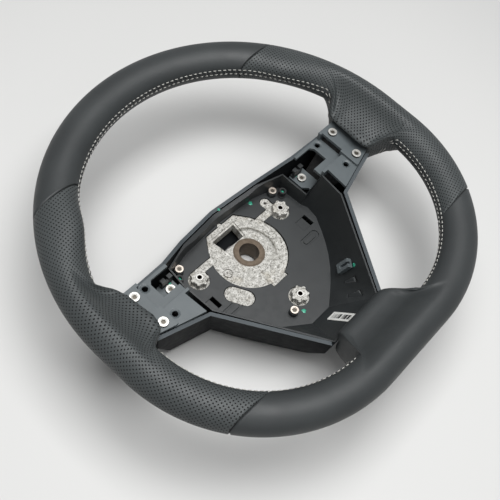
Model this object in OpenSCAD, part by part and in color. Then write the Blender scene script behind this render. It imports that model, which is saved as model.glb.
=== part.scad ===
// Bare car steering wheel with a flat bottom, in millimetres.
// The hub axis is Z, +Y points to twelve o'clock, and the hub face is at z = 0.

/* [Rim] */
// Outer radius of the rim above the spokes
rim_r = 185; // [180:0.5:190]
// Radial thickness of the rim
grip_w = 34; // [31:0.5:36]
// Front-to-back thickness of the rim
grip_d = 32; // [30:0.5:34]
// Height of the rim's middle above the hub face
rim_h = 71; // [67:0.5:75]
// Distance from the hub axis to the flat bottom
flat_y = 176; // [172:0.5:180]
// Outer radius of the two lower corners
corner_r = 147; // [140:1:150]
// How far the thumb rests swell inwards
thumb_swell = 8; // [0:0.5:10]
// How deep the thumb hollows above the spokes are
thumb_hollow = 4; // [0:0.5:5]

/* [Leather] */
// Thickness of the leather
leather_t = 1.3; // [1:0.1:1.6]
// Glue gap between leather and foam
glue_gap = 0.2; // [0.1:0.05:0.4]
// Open width of the seam between two panels
seam_gap = 0.8; // [0.4:0.1:1.2]
// Height of the upper seams above the hub axis
seam_up = 116; // [108:1:122]
// Depth of the lower seams below the hub axis
seam_low = 112; // [106:1:120]

/* [Spoke stubs] */
// Distance from the hub axis to the end of a side stub
stub_in = 139; // [138:0.5:142]
// Height of a side stub above the hub axis
stub_up = 33; // [31:0.5:34]
// Depth of a side stub below the hub axis
stub_down = 20; // [18:0.5:21]
// Distance from the hub axis to the end of the bottom stub
stub_low = 120; // [120:0.5:123]
// Width of the bottom stub
stub_low_w = 70; // [66:1:72]
// Thickness of the side stubs
side_stub_t = 41; // [40:0.5:42]
// Thickness of the bottom stub
low_stub_t = 51; // [50:0.5:52]
// How far the middle of a side stub lies below the rim's middle
side_drop = 25.5; // [25:0.5:26.5]
// How far the middle of the bottom stub lies below the rim's middle
low_drop = 30.5; // [30:0.5:31.5]

/* [Skeleton] */
// Radius of the cast ring inside the rim
ring_r = 6.5; // [5.5:0.5:7.5]
// Thickness of the cast hub
hub_t = 12; // [11:0.5:13]
// Radius of the cast hub disc
disc_r = 37; // [35:0.5:38]
// Thickness of the cast arms
arm_t = 9; // [8:0.5:10]
// Distance of the side star bosses from the hub axis, across
star_x = 55.2; // [53:0.1:57]
// Height of the side star bosses above the hub axis
star_y = 11.1; // [9:0.1:13]
// Depth of the lower star boss below the hub axis
star_low = 62.5; // [60:0.1:64]
// Radius of a star boss
star_r = 7; // [6.5:0.1:7.5]
// How far a star boss stands above the hub face
star_h = 6; // [4:0.5:8]

/* [Hub insert] */
// Radius of the bore for the steering column
bore_r = 9.5; // [8:0.1:11]
// Outer radius of the steel insert
insert_r = 15; // [14:0.5:16]
// Length of the steel insert
insert_len = 21; // [18:0.5:22]
// Bore radius of the sleeves in the star bosses
sleeve_bore_r = 2.2; // [1.8:0.1:2.5]
// Outer radius of the sleeves
sleeve_r = 3.3; // [3:0.1:3.8]

/* [Tray] */
// Thickness of the tray floor
tray_t = 2.5; // [2:0.1:3]
// Height of the tray floor's face above the hub face
floor_z = 1; // [0.6:0.1:1.4]
// Clear gap between the tray and the castings that stand in it
cut_gap = 0.6; // [0.4:0.1:1]
// Width of the tray's upper rib
rib_w = 4.5; // [3.5:0.5:5]
// Width of the tray's rib along the lower sides
side_rib_w = 1.6; // [1.2:0.1:2.2]
// Dark gap between the tray's rib and the rear cover
rib_gap = 1.2; // [1:0.1:1.6]

/* [Rear cover] */
// Width of the cover's visible edge
flange_w = 3.5; // [3:0.1:4]
// Wall thickness of the cover
wall = 2.5; // [2:0.1:3]
// Depth of the cover's foot below the hub face
back_z = 24; // [23:0.5:26]
// Outer radius of the foot
foot_r = 46; // [44:0.5:48]
// Inner radius of the foot
foot_in_r = 35; // [34:0.5:36]
// Radius of the opening for the steering column
column_r = 23; // [22:0.5:24]
// Depth of the screw recess inside the foot
foot_recess = 4; // [3.5:0.5:5]

/* [Spoke plates] */
// Thickness of the plates
plate_t = 3; // [2.5:0.1:3.5]
// How far the screw strip lies below the rim's middle
strip_drop = 18; // [17:0.5:19]
// How far the lower plate lies below the rim's middle
low_plate_drop = 21; // [20:0.5:22]
// How far the upper plate lies below the rim's middle
up_plate_drop = 27; // [26:0.5:28]
// Distance from the hub axis to the step between plate and strip
step_x = 119.5; // [118:0.5:121]
// Radius of the trim holes
trim_r = 2.7; // [2.4:0.1:3]
// Radius of the sunk rim round a trim hole
trim_sink_r = 4.5; // [4:0.1:5]

/* [Fasteners] */
// Head radius of the spoke and mid screws
head_r = 4.3; // [4:0.1:4.6]
// Head height of the spoke and mid screws
head_h = 2.2; // [1.8:0.1:2.6]
// Shank radius of every screw
shank_r = 1.9; // [1.7:0.1:2.1]
// Key width across the sockets
socket_w = 3.4; // [3:0.1:4]
// Head radius of the tray screws
tray_head_r = 3.8; // [3.5:0.1:4]
// Radius of the grommets
grommet_r = 3.6; // [3.3:0.1:3.7]

/* [Hidden] */
$fn = 48;

// Clearances
fit_gap = 0.05;
foam_gap = 0.2;
slot_gap = 0.8;
over = 1;

// Middle line of the rim: a quarter circle, a short side, a corner and half the flat bottom
rim_c = rim_r - grip_w / 2;
corner_c = corner_r - grip_w / 2;
corner_x = rim_r - corner_r;
corner_y = flat_y - corner_r;
len_top = rim_c * PI / 2;
len_side = len_top + corner_y;
len_corner = len_side + corner_c * PI / 2;
half_len = len_corner + corner_x;

// Places of the stubs along the middle line
stub_ease = 8;
stub_flare = 14;
stub_soften = 8;
stub_reach = 18;
side_from = len_top - rim_c * atan(stub_up / stub_in) * PI / 180;
side_to = len_top + stub_down;
side_mid = (side_from + side_to) / 2;
side_half = (side_to - side_from) / 2;
side_reach = rim_r - grip_w - stub_in;
low_reach = flat_y - grip_w - stub_low;
stub_round = 0.42;
stub_lean = 0.75;

// Thumb rests and hollows, as angles above the spokes
swell_angle = 35;
hollow_angle = 15;
swell_len = 26;
hollow_len = 22;
swell_dir = 138;

// Points round the section
around = 16;

// Levels of the plates and arms
strip_z = rim_h - strip_drop;
low_plate_z = rim_h - low_plate_drop;
up_plate_z = rim_h - up_plate_drop;
arm_top = strip_z - 2 * plate_t - 2;
ramp_end_z = rim_h - 30.8;
low_arm_top = ramp_end_z - 5.7;
base_z = floor_z - tray_t;
end_gap = 0.6;
plate_end = stub_in - end_gap;

function smooth(t) = let (u = min(1, max(0, t))) u * u * (3 - 2 * u);
function swell(x, mid, len) = exp(-pow((x - mid) / len, 2));
function window(x, mid, half, ease) = smooth((half + ease - abs(x - mid)) / (2 * ease));

// Middle line at length a from twelve o'clock: x, y and the angle of the outward normal
function mid_line(a) =
    a < len_top ? arc_at(0, 0, rim_c, 90 - a / rim_c * 180 / PI) :
    a < len_side ? [rim_c, len_top - a, 0] :
    a < len_corner ? arc_at(corner_x, -corner_y, corner_c, -(a - len_side) / corner_c * 180 / PI) :
    [corner_x + len_corner - a, -corner_y - corner_c, -90];
function arc_at(x, y, r, t) = [x + r * cos(t), y + r * sin(t), t];

// Thumb shape at length a: swollen above the hollow
function thumb(a) =
    thumb_swell * swell(a, len_top - rim_c * swell_angle * PI / 180, swell_len)
    - thumb_hollow * swell(a, len_top - rim_c * hollow_angle * PI / 180, hollow_len);

// Point of the rim's skin at signed length s, angle phi round the section, and depth inset
function rim_point(s, phi, inset) =
    let (a = abs(s),
        mid = mid_line(a),
        c = cos(phi),
        q = sin(phi),
        m = max(0, -c),
        flare = stub_flare * (1 - m),
        ease = stub_ease + stub_soften * (1 - m),
        side = window(a, side_mid, side_half + flare, ease),
        low = window(a, half_len, stub_low_w / 2 + flare, ease),
        share = max(side, low),
        lean = q < 0 ? sqrt(m) : smooth(m / stub_lean),
        push = thumb(a) * pow(max(0, cos(phi - swell_dir)), 2),
        half_t = (a > len_side ? low_stub_t : side_stub_t) / 2,
        flat = sign(q) * pow(abs(q), stub_round) * (half_t - inset),
        drop = side * side_drop + low * low_drop,
        rad = c * (grip_w / 2 - inset) - m * (side * side_reach + low * low_reach)
            + push * cos(swell_dir),
        up = (grip_d / 2 - inset) * q * (1 - lean * share) + lean * share * flat - lean * drop
            + push * sin(swell_dir) / 2)
    [(s < 0 ? -1 : 1) * (mid[0] + rad * cos(mid[2])), mid[1] + rad * sin(mid[2]), rim_h + up];

// The seams are level cuts: length along the middle line at which a skin point meets them
function up_seam(phi) =
    len_top - rim_c * asin(seam_up / (rim_c + cos(phi) * grip_w / 2)) * PI / 180;
function low_seam(phi) =
    len_side + corner_c * asin((seam_low - corner_y) / (corner_c + cos(phi) * grip_w / 2)) * PI / 180;

// Length for a place w: 0 is twelve o'clock, 1 and 2 are the seams, 3 is six o'clock
function place(w, phi) =
    let (v = w > 3 ? w - 6 : w,
        a = abs(v),
        up = up_seam(phi),
        low = low_seam(phi))
    (v < 0 ? -1 : 1) * (a < 1 ? a * up
        : a < 2 ? up + (a - 1) * (low - up)
        : low + (a - 2) * (half_len - low));

function rim_ring(w, inset, shift) =
    [for (j = [0 : around - 1]) let (phi = j * 360 / around)
        rim_point(place(w, phi) + shift, phi, inset)];

// Places of all sections, the same in foam and leather, closest at the edges of the stubs
function spaced(knots, counts) =
    [for (i = [0 : len(counts) - 1], k = [0 : counts[i] - 1])
        knots[i] + (knots[i + 1] - knots[i]) * k / counts[i]];
function grip_place(a) = 1 + (a - up_seam(90)) / (low_seam(90) - up_seam(90));
function bottom_place(a) = 2 + (a - low_seam(90)) / (half_len - low_seam(90));
low_from = half_len - stub_low_w / 2;
top_places = spaced([-1, 1], [14]);
grip_places = spaced([1, grip_place(side_from - stub_reach), grip_place(side_from + stub_ease),
    grip_place(side_to - stub_ease), grip_place(side_to + stub_reach), 2], [7, 5, 4, 5, 7]);
bottom_places = spaced([2, bottom_place(low_from - stub_reach), bottom_place(low_from + stub_ease),
    6 - bottom_place(low_from + stub_ease), 6 - bottom_place(low_from - stub_reach), 4],
    [6, 6, 3, 6, 6]);
left_places = [for (i = [len(grip_places) - 1 : -1 : 0]) 6 - grip_places[i]];
left_grip_places = concat([4], left_places);
loop_places = concat(top_places, grip_places, bottom_places, [4],
    [for (i = [0 : len(left_places) - 2]) left_places[i]]);

// Triangles of a grid with m points a row, from row i to row k, seen from outside or inside
function band(i, k, m, flip) =
    [for (j = [0 : m - 1], t = [0, 1])
        let (a = i * m + j, b = i * m + (j + 1) % m, c = k * m + (j + 1) % m, d = k * m + j)
        t == 0 ? (flip ? [a, c, b] : [a, b, c]) : (flip ? [a, d, c] : [a, c, d])];

module closed_sweep(rings, flip) {
    n = len(rings);
    polyhedron([for (r = rings) each r],
        [for (i = [0 : n - 1]) each band(i, (i + 1) % n, len(rings[0]), flip)], convexity = 12);
}

// A tube panel over a row of places: an outer skin, an inner skin and two cut edges
module leather_panel(places) {
    last = len(places) - 1;
    outer = [for (i = [0 : last]) rim_ring(places[i], 0, panel_trim(i, last))];
    inner = [for (i = [0 : last]) rim_ring(places[i], leather_t, panel_trim(i, last))];
    n = last + 1;
    faces = concat(
        [for (i = [0 : last - 1]) each band(i, i + 1, around, true)],
        [for (i = [n : n + last - 1]) each band(i, i + 1, around, false)],
        band(0, n, around, false),
        band(last, n + last, around, true));
    polyhedron([for (r = concat(outer, inner)) each r], faces, convexity = 12);
}
function panel_trim(i, last) = i == 0 ? seam_gap / 2 : i == last ? -seam_gap / 2 : 0;

// Outline helpers
module both_sides() {
    children();
    mirror([1, 0, 0]) children();
}
function lerp(a, b, t) = a + (b - a) * t;
function half_outline(keys, steps) =
    [for (i = [0 : len(steps) - 1], k = [0 : steps[i] - 1]) lerp(keys[i], keys[i + 1], k / steps[i])];
function full_outline(half, last) =
    concat(half, [last],
        [for (i = [len(half) - 1 : -1 : 1])
            [for (k = [0 : len(half[i]) - 1]) k == 0 ? -half[i][0] : half[i][k]]]);
function inward(loop, i) =
    let (n = len(loop),
        d = loop[(i + 1) % n] - loop[(i + n - 1) % n],
        size = norm([d[0], d[1]]))
    [d[1] / size, -d[0] / size];
function round_to(p, r, z) = let (size = norm([p[0], p[1]])) [p[0] / size * r, p[1] / size * r, z];

// Cast arm, profile along its length: flat under the tray, then up to the rim ring
side_flat = 94;
low_flat = 84;
side_arm_low = -16;
side_arm_high = 25;
side_arm_near = 21.5;
neck_low = -9;
neck_high = 21;
low_arm_w = 26;
low_arm_t = 7;
ring_low_y = flat_y - grip_w / 2;

function arm_level(t) = lerp(base_z, arm_top, t);
function side_profile(g) = [
    [disc_r - 4, base_z + g], [side_flat + g, base_z + g], [103 + g, arm_level(0.29)],
    [114 + g, arm_level(0.742)],
    [126, arm_top + g], [stub_in + 3, arm_top + g], [rim_c - 4, rim_h + 2], [rim_c + 2, rim_h - 4],
    [stub_in + 6, arm_top - arm_t - g], [132, arm_top - arm_t - g], [123, arm_top - 19 - g],
    [113, arm_level(0.097)], [104, base_z - 6.5 - g], [side_flat, base_z - arm_t - g],
    [disc_r - 4, base_z - arm_t - g]];
function low_profile(g) = [
    [disc_r - 4, base_z + g], [low_flat + 7 + g, base_z + g], [stub_low - 1, low_arm_top + g],
    [stub_low + 6, low_arm_top + g], [ring_low_y - 4, rim_h + 2], [ring_low_y + 2, rim_h - 4],
    [stub_low + 10, low_arm_top - low_arm_t - g], [stub_low - 0.5, low_arm_top - low_arm_t - g],
    [low_flat + 11, base_z - 6.5 - g], [low_flat, base_z - arm_t - g], [disc_r - 4, base_z - arm_t - g]];

module side_arm(g) {
    intersection() {
        translate([0, side_arm_high + g, 0]) rotate([90, 0, 0])
            linear_extrude(side_arm_high - side_arm_low + 2 * g) polygon(side_profile(g));
        linear_extrude(400, center = true) side_arm_plan(g);
    }
}
module side_arm_plan(g) {
    polygon([[disc_r - 4, -g], [side_flat, -g], [112, side_arm_low - g], [130 + g, side_arm_low - g],
        [133 + g, neck_low - g], [rim_c + 3, neck_low - g], [rim_c + 3, neck_high + g],
        [133 + g, neck_high + g], [130 + g, side_arm_high + g], [120, side_arm_high + g],
        [112, side_arm_near + g], [disc_r - 4, side_arm_near + g]]);
}
module low_arm(g) {
    rotate([90, 0, -90]) translate([0, 0, -low_arm_w / 2 - g])
        linear_extrude(low_arm_w + 2 * g) polygon(low_profile(g));
}
module ring_path(r) {
    rotate_extrude(angle = 180) translate([rim_c, 0]) circle(r, $fn = 32);
    both_sides() {
        translate([rim_c, 0, 0]) rotate([90, 0, 0]) cylinder(h = corner_y, r = r, $fn = 32);
        translate([corner_x, -corner_y, 0]) rotate([0, 0, -90])
            rotate_extrude(angle = 90) translate([corner_c, 0]) circle(r, $fn = 32);
    }
    translate([-corner_x, -corner_y - corner_c, 0]) rotate([0, 90, 0])
        cylinder(h = 2 * corner_x, r = r, $fn = 32);
}

// Casting parts that stand up through the tray, grown by g
pad_dir = -62;
pad_x = -40;
pad_y = -25;
pad_r = 7.5;
pad_half = 6.5;
ear_x = 51.5;
ear_y = 26.4;
module pad_plan(g) {
    translate([pad_x, pad_y]) rotate(pad_dir) {
        square([2 * pad_half, 2 * (pad_r + g)], center = true);
        for (e = [-1, 1]) translate([e * pad_half, 0]) circle(pad_r + g);
    }
}
module hub_plan(g) {
    circle(disc_r + g);
    polygon([[-29 - g, 24], [-18 - g, 38 + g], [18 + g, 38 + g], [29 + g, 24]]);
    translate([0, 38.5]) circle(2.2 + g);
    translate([-9 - g, -40 - g]) square([18 + 2 * g, 20]);
    translate([-star_x, star_y + 2.4 - g]) square([2 * star_x, 7 + 2 * g]);
    translate([ear_x, ear_y]) circle(5 + g);
    translate([ear_x - 4.5 - g, star_y]) square([9 + 2 * g, ear_y - star_y]);
}
module star_plan(g) {
    circle(star_r + g);
    for (k = [0 : 6]) rotate(k * 360 / 7 + 13) translate([star_r, 0]) circle(1.6 + g);
}
star_places = [[-star_x, star_y], [star_x, star_y], [0, -star_low]];

// Hub window above the bore
window_plan = [[-15, 15.5], [9, 15.5], [11.5, 31], [-17, 31]];
frame_w = 2;
frame_depth = 1.4;
frame_plan = [for (p = window_plan) [p[0] + sign(p[0]) * frame_w, p[1] + (p[1] > 20 ? frame_w : 0)]];

// Flange of the hub, a shallow step below the raised middle
plateau_r = 22.8;
step_depth = 1;
dimple_x = 30.5;
module flange_plan() {
    difference() {
        circle(disc_r + over);
        circle(plateau_r);
        translate([-disc_r - over, -disc_r - over]) square([disc_r + over - 7, 2 * (disc_r + over)]);
        translate([-10, 0]) square([plateau_r + 9, disc_r + over]);
        translate([0, 22]) square(disc_r + over);
    }
}
tray_screw_places = [[-63.1, 28.8], [63.1, 28.8], [-17, -70]];
cover_screw_r = 29;
module at_cover_screws() {
    for (a = [30, 150, 270]) rotate(a) translate([cover_screw_r, 0, 0]) children();
}

module armature() {
    color("silver") difference() {
        union() {
            translate([0, 0, -hub_t]) linear_extrude(hub_t) hub_plan(0);
            translate([0, 0, base_z - arm_t]) linear_extrude(arm_t) {
                pad_plan(0);
                polygon([[-34, 0], [-50, -30], [-40, -34], [-20, -20]]);
                for (p = tray_screw_places) translate(p) circle(4.6);
                both_sides() translate([tray_screw_places[1][0] - 4.8, star_y])
                    square([9.6, tray_screw_places[1][1] - star_y]);
                polygon([[-13, -60], [-23, -66], [-23, -76], [-13, -80]]);
            }
            translate([0, 0, base_z - over]) linear_extrude(-base_z + over + 0.3) pad_plan(0);
            for (p = star_places) translate([p[0], p[1], -hub_t + over])
                linear_extrude(hub_t - over + star_h) star_plan(0);
            both_sides() side_arm(0);
            low_arm(0);
            translate([0, 0, rim_h]) ring_path(ring_r);
            at_cover_screws() translate([0, 0, -pillar_len - hub_t]) cylinder(h = pillar_len + over, r = 5);
        }
        translate([0, 0, -hub_t - over]) cylinder(h = hub_t + 2 * over, r = insert_r + fit_gap);
        translate([0, 0, -hub_t - over]) linear_extrude(hub_t + 3 * over) polygon(window_plan);
        for (p = star_places) translate([p[0], p[1], -hub_t - over])
            cylinder(h = hub_t + star_h + 2 * over, r = sleeve_r + fit_gap);
        translate([ear_x, ear_y, -hub_t - over]) cylinder(h = hub_t + 2 * over, r = 1.5);
        for (p = tray_screw_places) translate([p[0], p[1], base_z - 8]) cylinder(h = 8 + over, r = shank_r + 0.1);
        for (p = spoke_screw_places) both_sides() translate([p[0], p[1], arm_top - 10])
            cylinder(h = 14, r = shank_r + 0.1);
        both_sides() translate([mid_x, mid_y, base_z - 7]) cylinder(h = 7 + over, r = shank_r + 0.1);
        at_cover_screws() translate([0, 0, -pillar_len - hub_t - over]) cylinder(h = 9, r = shank_r + 0.1);
        translate([0, 0, -step_depth]) linear_extrude(step_depth + over) flange_plan();
        translate([0, 0, -frame_depth]) linear_extrude(frame_depth + over) polygon(frame_plan);
        both_sides() translate([dimple_x, -2, -step_depth - 0.7]) difference() {
            cylinder(h = 3, r = 4.6);
            translate([0, 0, -over]) cylinder(h = 3 + 2 * over, r = 3.8);
        }
    }
}
pillar_len = back_z - foot_recess - wall - hub_t;

module hub_insert() {
    color("rosybrown") difference() {
        union() {
            translate([0, 0, -insert_len]) cylinder(h = insert_len, r = insert_r);
            cylinder(h = 0.5, r = insert_r - 1);
        }
        translate([0, 0, -insert_len - over]) cylinder(h = insert_len + 2 * over, r = bore_r);
    }
}

module boss_sleeves() {
    color("gainsboro") for (p = star_places) translate([p[0], p[1], -hub_t + over]) difference() {
        cylinder(h = hub_t - over + star_h + 0.6, r = sleeve_r);
        translate([0, 0, -over]) cylinder(h = hub_t + star_h + 3 * over, r = sleeve_bore_r);
    }
}

module rim_foam() {
    color("dimgray") difference() {
        closed_sweep([for (w = loop_places) rim_ring(w, leather_t + glue_gap, 0)], true);
        translate([0, 0, rim_h]) ring_path(ring_r + foam_gap);
        both_sides() side_arm(foam_gap);
        low_arm(foam_gap);
    }
}

// Cut for the arm through the end of each stub, and depth into the cover
module side_slot(depth) {
    translate([stub_in - depth, neck_low - slot_gap, arm_top - arm_t - slot_gap])
        cube([depth + 6, neck_high - neck_low + 2 * slot_gap, arm_t + 2 * slot_gap]);
}
module low_slot(depth, below) {
    translate([-low_arm_w / 2 - slot_gap, -stub_low - 8, low_arm_top - low_arm_t - slot_gap - below])
        cube([low_arm_w + 2 * slot_gap, depth + 8, low_arm_t + 2 * slot_gap + below]);
}

module leather_top() {
    color("darkslategray") leather_panel(concat(top_places, [1]));
}
module leather_left_grip() {
    color("dimgray") difference() {
        leather_panel(left_grip_places);
        mirror([1, 0, 0]) side_slot(1);
    }
}
module leather_right_grip() {
    color("dimgray") difference() {
        leather_panel(concat(grip_places, [2]));
        side_slot(1);
    }
}
module leather_bottom() {
    color("darkslategray") difference() {
        leather_panel(concat(bottom_places, [4]));
        low_slot(1, 0);
    }
}

// Edge of the rear cover, right half from twelve o'clock, with the height of its side wall
// and the share by which the wall's foot draws in
waist_x = 84;
low_end_x = 35.5;
edge_keys = [
    [0, 52, 9, 20, 0.985], [48, 44.5, 19.4, 29, 0.985], [waist_x, 32, up_plate_z - plate_t, 46, 0.985],
    [plate_end, 30.5, up_plate_z - plate_t, 18, 0.985], [plate_end, -15.4, up_plate_z - plate_t, 18, 0.985],
    [plate_end, -19, low_plate_z, 20, 0.985], [91, -31.5, rim_h - 25.4, 30, 0.93],
    [low_end_x, 1 - stub_low, rim_h - 29.8, 22, 0.985], [32, 1 - stub_low, ramp_end_z - 7.7, 13, 0.985],
    [0, 1 - stub_low, ramp_end_z - 7.7, 13, 0.985]];
edge_steps = [5, 4, 4, 3, 1, 4, 6, 1, 1];
cover_edge = full_outline(half_outline(edge_keys, edge_steps), edge_keys[9]);

function under_edge(p) = [p[0] * p[4], p[1] * p[4], p[2] - p[3]];
function belly(p) =
    let (u = under_edge(p), f = round_to(p, foot_r, -back_z))
    [lerp(f[0], u[0], 0.8), lerp(f[1], u[1], 0.8), lerp(f[2], u[2], 0.25)];
function inset_by(p, n, d, up) = [p[0] + n[0] * d, p[1] + n[1] * d, p[2] + up];

function cover_section(i) =
    let (p = cover_edge[i],
        n = inward(cover_edge, i),
        inner_z = foot_recess + wall - back_z)
    [[p[0], p[1], p[2]], under_edge(p), belly(p), round_to(p, foot_r, -back_z), round_to(p, foot_in_r, -back_z),
        round_to(p, foot_in_r, foot_recess - back_z), round_to(p, column_r, foot_recess - back_z),
        round_to(p, column_r, inner_z), round_to(p, foot_in_r + wall, inner_z),
        round_to(p, foot_in_r + wall + 0.5, wall - back_z), round_to(p, foot_r - wall, wall - back_z),
        inset_by(belly(p), n, wall, wall * 0.7), inset_by(under_edge(p), n, wall, wall * 0.6),
        inset_by(p, n, flange_w, 0)];

module rear_cover() {
    color("slategray") difference() {
        closed_sweep([for (i = [0 : len(cover_edge) - 1]) cover_section(i)], false);
        both_sides() side_slot(5.5);
        low_slot(9, 14.5);
        at_cover_screws() translate([0, 0, -back_z]) cylinder(h = 12, r = shank_r + 0.3);
    }
}

// Tray: upper edge and floor edge share their corners
ramp_low_y = 89;
tray_inset = flange_w + rib_gap;
tray_keys = [
    [0, 52 - tray_inset, 9], [48, 44.5 - tray_inset, 19.4], [76, 30.6, 22], [78.5, 1, 19],
    [88, -3, low_plate_z - plate_t - 1], [91 - tray_inset, -31.5 + tray_inset / 2, rim_h - 26.4],
    [low_end_x - tray_inset, 1 - stub_low, ramp_end_z], [0, 1 - stub_low, ramp_end_z]];
floor_keys = [
    [0, 40.5, 0], [44.6, 38, 0], [74.5, 29.7, 0], [76.5, 1, 0],
    [79, -5, 0], [77, -18, 0], [12, -ramp_low_y, 0], [0, -ramp_low_y, 0]];
tray_steps = [4, 3, 3, 1, 2, 7, 2];
tray_edge = full_outline(half_outline(tray_keys, tray_steps), tray_keys[7]);
floor_edge = full_outline(half_outline(floor_keys, tray_steps), floor_keys[7]);
floor_belly = 7;

// The floor's lower sides bow outwards between their two corners
function bowed(p) =
    let (t = min(1, max(0, (-p[1] - 18) / 70)), b = floor_belly * sin(180 * t), s = sign(p[0]))
    [p[0] + s * b * 0.73, p[1] - b * 0.68, p[2]];

function tray_section(i) =
    let (p = tray_edge[i],
        n = inward(tray_edge, i),
        f = bowed(floor_edge[i]),
        rib = p[1] < 0 ? side_rib_w : lerp(side_rib_w, rib_w, smooth((58 - abs(p[0])) / 20)))
    [[p[0], p[1], p[2]], [f[0] - n[0] * 1.5, f[1] - n[1] * 1.5, base_z], round_to(f, disc_r + cut_gap, base_z),
        round_to(f, disc_r + cut_gap, floor_z), [f[0], f[1], floor_z],
        inset_by(p, n, rib, -0.4), inset_by(p, n, rib, 0)];

module slot_plan(w, h) {
    square([w - h, h], center = true);
    for (e = [-1, 1]) translate([e * (w - h) / 2, 0]) circle(h / 2);
}
window_w = 14;
window_h = 12;
slot_x = 54;
slot_y = -29.5;
module tray_marks() {
    for (x = [-65, 63.5]) translate([x, -14.5, 0]) {
        translate([3, -window_h / 2, base_z - over]) cube([window_w / 2 - 3, window_h, tray_t + 2 * over]);
        translate([-window_w / 2, -window_h / 2, floor_z - 1.2]) cube([window_w, window_h, 3]);
    }
    both_sides() translate([slot_x, slot_y, floor_z - 1.4]) linear_extrude(3) difference() {
        slot_plan(23, 9);
        slot_plan(15, 4.6);
    }
}
boss_cup_r = 10;
module tray_shell() {
    closed_sweep([for (i = [0 : len(tray_edge) - 1]) tray_section(i)], false);
}
module hub_tray() {
    color("darkslategray") difference() {
        union() {
            tray_shell();
            for (p = tray_screw_places) translate([p[0], p[1], base_z + over])
                cylinder(h = tray_boss_top - base_z - over, r = 4.3);
        }
        translate([0, 0, base_z - over]) linear_extrude(tray_t + 2 * over) {
            hub_plan(cut_gap);
            pad_plan(cut_gap);
            for (p = star_places) translate(p) circle(boss_cup_r);
        }
        tray_marks();
        for (p = tray_screw_places) translate([p[0], p[1], base_z - over])
            cylinder(h = 20, r = shank_r + 0.2);
    }
}
tray_boss_top = 6;

// Right spoke plate: strip, step, upper plate with its pocket and tongue, lower plate
spoke_screw_places = [[127, 19.6], [125.5, -11.5]];
trim_up = [112, 22.9];
trim_low = [112, -11.4];
plate_top = 28.5;
plate_inner = 92;
slot_low = 1;
function low_edge(x) = -14.8 + (x - plate_end) * 0.272;

module plate_block(points, top, t) {
    translate([0, 0, top - t]) linear_extrude(t) polygon(points);
}
module spoke_plate() {
    x1 = plate_end;
    difference() {
        union() {
            plate_block([[step_x, low_edge(step_x)], [x1, low_edge(x1)], [x1, plate_top],
                [step_x, plate_top]], strip_z, plate_t);
            plate_block([[step_x, plate_top - 3], [x1, plate_top - 3], [x1, plate_top],
                [step_x, plate_top]], strip_z, strip_z - up_plate_z + plate_t);
            plate_block([[step_x - 2.5, low_edge(step_x)], [step_x + over, low_edge(step_x)],
                [step_x + over, slot_low], [step_x - 2.5, slot_low]], strip_z, strip_z - low_plate_z + plate_t);
            plate_block([[step_x - 2.5, plate_top - 3], [step_x + over, plate_top - 3],
                [step_x + over, plate_top], [step_x - 2.5, plate_top]], strip_z,
                strip_z - up_plate_z + plate_t);
            plate_block([[plate_inner + 1.5, -4], [plate_inner, low_edge(plate_inner)],
                [step_x, low_edge(step_x)], [step_x, -4]], low_plate_z, plate_t);
            plate_block([[88, -4], [step_x, -4], [step_x, plate_top], [waist_x, plate_top], [waist_x, 25.5],
                [103, 25.5], [106, 22], [106, 7], [88, 7]], up_plate_z, plate_t);
            plate_block([[88, -4], [step_x, -4], [step_x, -1.5], [88, -1.5]],
                low_plate_z, low_plate_z - up_plate_z + plate_t);
            translate([trim_up[0], trim_up[1], up_plate_z - plate_t]) cylinder(h = plate_t, r = 5.6);
            for (p = spoke_screw_places) translate([p[0], p[1], arm_top])
                cylinder(h = strip_z - arm_top - over, r = 4.5);
        }
        for (p = spoke_screw_places) translate([p[0], p[1], arm_top - over])
            cylinder(h = 20, r = shank_r + 0.2);
        trim_hole(trim_up, up_plate_z);
        trim_hole(trim_low, low_plate_z);
    }
}
sink_depth = 0.8;
module trim_hole(at, top) {
    translate([at[0], at[1], top - plate_t - over]) cylinder(h = plate_t + 2 * over, r = trim_r);
    translate([at[0], at[1], top - sink_depth])
        cylinder(h = 2 * sink_depth, r1 = trim_r, r2 = 2 * trim_sink_r - trim_r);
}
module spoke_plate_right() {
    color("lightslategray") spoke_plate();
}
module spoke_plate_left() {
    color("lightslategray") mirror([1, 0, 0]) spoke_plate();
}

// Mid bracket: a lug with a finger, on a boss that stands on the cast arm
mid_x = 87.8;
mid_y = 15.7;
mid_z = 19;
module mid_bracket() {
    difference() {
        union() {
            translate([0, 0, mid_z - plate_t]) linear_extrude(plate_t)
                polygon([[80, 9], [85, 4], [86, -4], [91, -4], [91, 2], [98, 4], [98, 23], [95, 25], [80, 25]]);
            translate([mid_x, mid_y, base_z]) cylinder(h = mid_z - base_z - 1, r = 5.5);
        }
        translate([mid_x, mid_y, base_z - over]) cylinder(h = mid_z + 10, r = shank_r + 0.2);
    }
}
module mid_bracket_right() {
    color("lightslategray") mid_bracket();
}
module mid_bracket_left() {
    color("lightslategray") mirror([1, 0, 0]) mid_bracket();
}

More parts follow.
